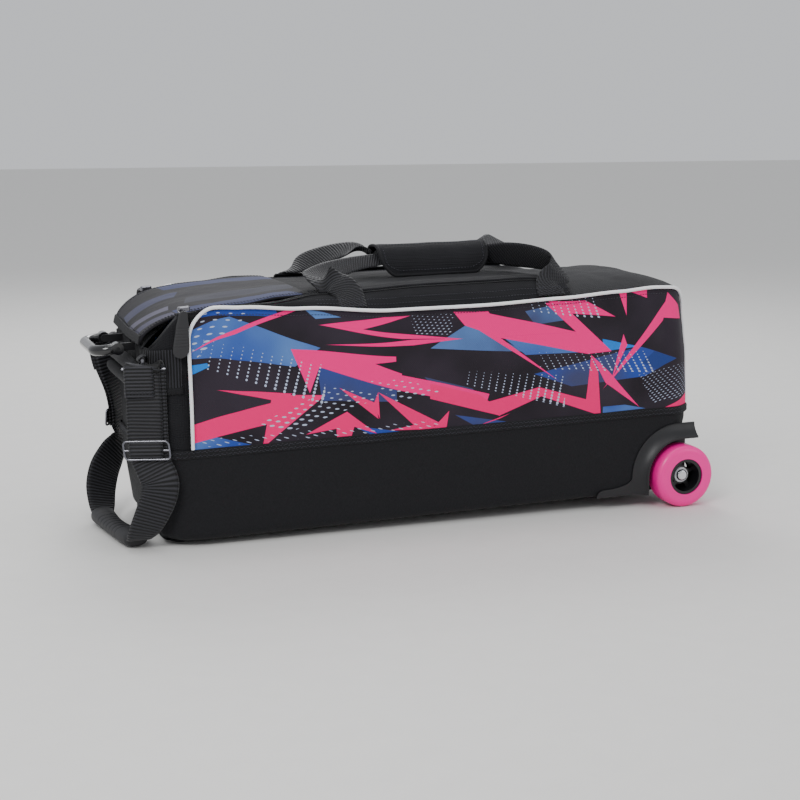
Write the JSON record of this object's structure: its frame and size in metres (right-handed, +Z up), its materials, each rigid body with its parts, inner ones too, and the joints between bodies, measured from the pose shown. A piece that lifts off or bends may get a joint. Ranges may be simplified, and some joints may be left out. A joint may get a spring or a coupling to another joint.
{
  "type": "roller bowling bag",
  "caption": "Soft-sided in-line roller tote for bowling balls, with a rigid base, urethane wheels, tow strap, padded carry grip, zipped lid and lightning-print panels.",
  "frame": {"origin": "middle of the overall footprint, on the floor that the wheels and feet stand on", "axes": "+X along the bag towards the wheels, +Y from the printed front to the back, +Z up; the bag leans one degree, its wheel end raised"},
  "size_m": [0.8784, 0.326, 0.3848],
  "materials": {
    "base_cloth": "ribbed polyester over a rigid tub",
    "tub_plastic": "moulded, matte",
    "foot_rubber": "moulded",
    "binding_tape": "woven tape",
    "cup_foam": "cloth-faced foam",
    "printed_cloth": "sublimation-printed polyester",
    "body_cloth": "woven polyester",
    "ribbed_elastic": "ribbed elastic knit",
    "white_piping": "vinyl",
    "zip_tape": "woven tape with coil",
    "webbing": "ribbed polypropylene webbing",
    "bright_chrome": "polished",
    "collar_steel": "zinc plated",
    "housing_plastic": "textured polypropylene",
    "buckle_plastic": "moulded acetal",
    "pink_urethane": "cast urethane, satin",
    "hub_nylon": "moulded nylon",
    "grip_cloth": "padded, bound edge",
    "wire_steel": "nickel plated wire",
    "grip_rubber": "ribbed soft rubber",
    "tube_plastic": "clear-coated vinyl tube",
    "puller_rubber": "moulded soft plastic"
  },
  "bodies": {
    "root": {"base_cover": "base_cloth", "base_tub": "tub_plastic", "rest_feet": "foot_rubber", "seam_band": "binding_tape", "ball_cup_left": "cup_foam", "ball_cup_middle": "cup_foam", "ball_cup_right": "cup_foam", "dividers": "cup_foam", "front_panel": "printed_cloth", "back_panel": "printed_cloth", "left_end_panel": "body_cloth", "right_end_panel": "body_cloth", "elastic_panels": "ribbed_elastic", "front_piping": "white_piping", "back_piping": "white_piping", "front_top_strip": "body_cloth", "back_top_strip": "body_cloth", "front_zip_tape": "zip_tape", "back_zip_tape": "zip_tape", "shoulders": "body_cloth", "lid_panel": "body_cloth", "top_end_panel": "body_cloth", "front_left_leg": "webbing", "front_right_leg": "webbing", "back_left_leg": "webbing", "back_right_leg": "webbing", "front_axle_bolt": "bright_chrome", "back_axle_bolt": "bright_chrome", "front_axle_collars": "collar_steel", "back_axle_collars": "collar_steel", "axle_nuts": "collar_steel", "front_wheel_housing": "housing_plastic", "back_wheel_housing": "housing_plastic", "housing_screws": "collar_steel", "ring_tabs": "webbing", "end_handle_tabs": "housing_plastic", "end_rolls": "body_cloth", "side_webbing": "webbing", "side_buckle": "buckle_plastic"},
    "front_wheel": {"front_tyre": "pink_urethane", "front_hub": "hub_nylon", "front_bearings": "collar_steel"},
    "back_wheel": {"back_tyre": "pink_urethane", "back_hub": "hub_nylon", "back_bearings": "collar_steel"},
    "lid_flap": {"lid_end": "body_cloth", "lid_hem": "binding_tape"},
    "carry_grip": {"grip_wrap": "grip_cloth", "grip_core": "webbing"},
    "tow_loop": {"tow_rings": "wire_steel", "tow_strap_front": "webbing", "tow_strap_back": "webbing", "tri_glides": "wire_steel", "tow_grip": "grip_rubber"},
    "end_grab": {"end_handle": "tube_plastic"},
    "front_zip": {"front_slider": "wire_steel"},
    "back_zip": {"back_slider": "wire_steel"},
    "front_pull": {"front_puller": "puller_rubber"},
    "back_pull": {"back_puller": "puller_rubber"}
  },
  "joints": [
    {"name": "front_wheel_spin", "type": "hinge", "parent": "root", "child": "front_wheel", "pos_m": [0.39418, -0.144, 0.045], "axis": [0, 1, 0], "continuous": true},
    {"name": "back_wheel_spin", "type": "hinge", "parent": "root", "child": "back_wheel", "pos_m": [0.39418, 0.144, 0.045], "axis": [0, 1, 0], "continuous": true},
    {"name": "lid_peel", "type": "hinge", "parent": "root", "child": "lid_flap", "pos_m": [-0.15683, 0, 0.32723], "axis": [0, 1, 0], "range_deg": [0, 80]},
    {"name": "carry_lift", "type": "slide", "parent": "root", "child": "carry_grip", "axis": [0, 0, 1], "range_m": [0, 0.045], "deforming": ["front_left_leg", "front_right_leg", "back_left_leg", "back_right_leg"]},
    {"name": "tow_swing", "type": "hinge", "parent": "root", "child": "tow_loop", "pos_m": [-0.37751, 0, 0.24956], "axis": [0, 1, 0], "range_deg": [0, 100]},
    {"name": "grab_swing", "type": "hinge", "parent": "root", "child": "end_grab", "pos_m": [-0.39765, 0, 0.25721], "axis": [0, 1, 0], "range_deg": [0, 75]},
    {"name": "front_zip_slide", "type": "slide", "parent": "root", "child": "front_zip", "axis": [0.9973, 0, 0.0738], "range_m": [0, 0.155]},
    {"name": "back_zip_slide", "type": "slide", "parent": "root", "child": "back_zip", "axis": [0.9973, 0, 0.0738], "range_m": [0, 0.155]},
    {"name": "front_pull_swing", "type": "hinge", "parent": "front_zip", "child": "front_pull", "pos_m": [-0.32763, -0.135, 0.31422], "axis": [0, 1, 0], "range_deg": [-80, 80]},
    {"name": "back_pull_swing", "type": "hinge", "parent": "back_zip", "child": "back_pull", "pos_m": [-0.32763, 0.135, 0.31422], "axis": [0, 1, 0], "range_deg": [-80, 80]}
  ]
}
